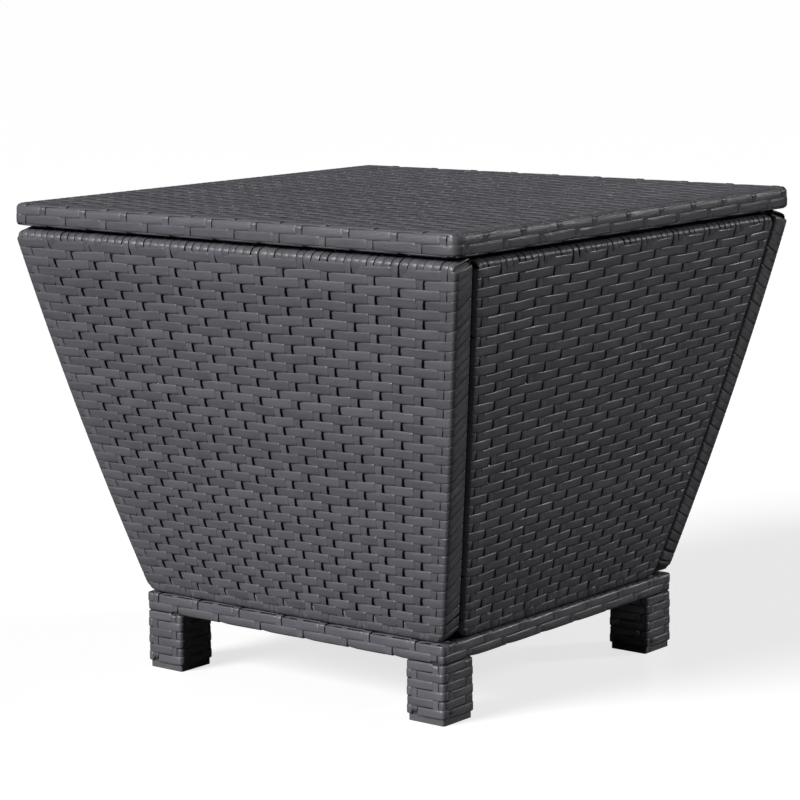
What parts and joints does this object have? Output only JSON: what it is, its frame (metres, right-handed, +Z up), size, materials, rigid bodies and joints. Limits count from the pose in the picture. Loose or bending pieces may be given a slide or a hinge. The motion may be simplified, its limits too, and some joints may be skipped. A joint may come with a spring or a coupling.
{
  "type": "square wicker side table",
  "caption": "Square side table of flat woven ribbon: a box that widens upward from short square legs, with storage under a flat hinged lid.",
  "frame": {"origin": "on the floor, under the middle of the table", "axes": "+Z up, the front toward -Y and the hinges toward +Y, +X to the right seen from the front"},
  "size_m": [0.5, 0.5, 0.4278],
  "materials": {
    "ribbon": "semi-gloss charcoal ribbon with a fine lengthwise grain",
    "steel_tube": "black powder coat",
    "foot_plastic": "moulded black plastic",
    "fixings": "zinc plate",
    "hinges": "black zinc"
  },
  "bodies": {
    "box": {"base_frame": "steel_tube", "front_panel_frame": "steel_tube", "right_panel_frame": "steel_tube", "back_panel_frame": "steel_tube", "left_panel_frame": "steel_tube", "floor_weave": "ribbon", "front_left_leg_weave": "ribbon", "front_right_leg_weave": "ribbon", "back_right_leg_weave": "ribbon", "back_left_leg_weave": "ribbon", "front_panel_weave": "ribbon", "right_panel_weave": "ribbon", "back_panel_weave": "ribbon", "left_panel_weave": "ribbon", "front_left_foot_cap": "foot_plastic", "front_right_foot_cap": "foot_plastic", "back_right_foot_cap": "foot_plastic", "back_left_foot_cap": "foot_plastic", "panel_bolts": "fixings", "panel_washers": "fixings", "panel_inserts": "fixings", "base_bolts": "fixings", "base_washers": "fixings", "base_inserts": "fixings", "left_hinge_box_leaf": "hinges", "right_hinge_box_leaf": "hinges", "left_hinge_pin": "hinges", "right_hinge_pin": "hinges", "hinge_box_screws": "fixings"},
    "lid": {"lid_frame": "steel_tube", "lid_weave": "ribbon", "left_hinge_lid_leaf": "hinges", "right_hinge_lid_leaf": "hinges", "hinge_lid_screws": "fixings"}
  },
  "joints": [
    {"name": "lid_hinge", "type": "hinge", "parent": "box", "child": "lid", "pos_m": [0, 0.24674, 0.40502], "axis": [-1, 0, 0], "range_deg": [0, 95]}
  ]
}
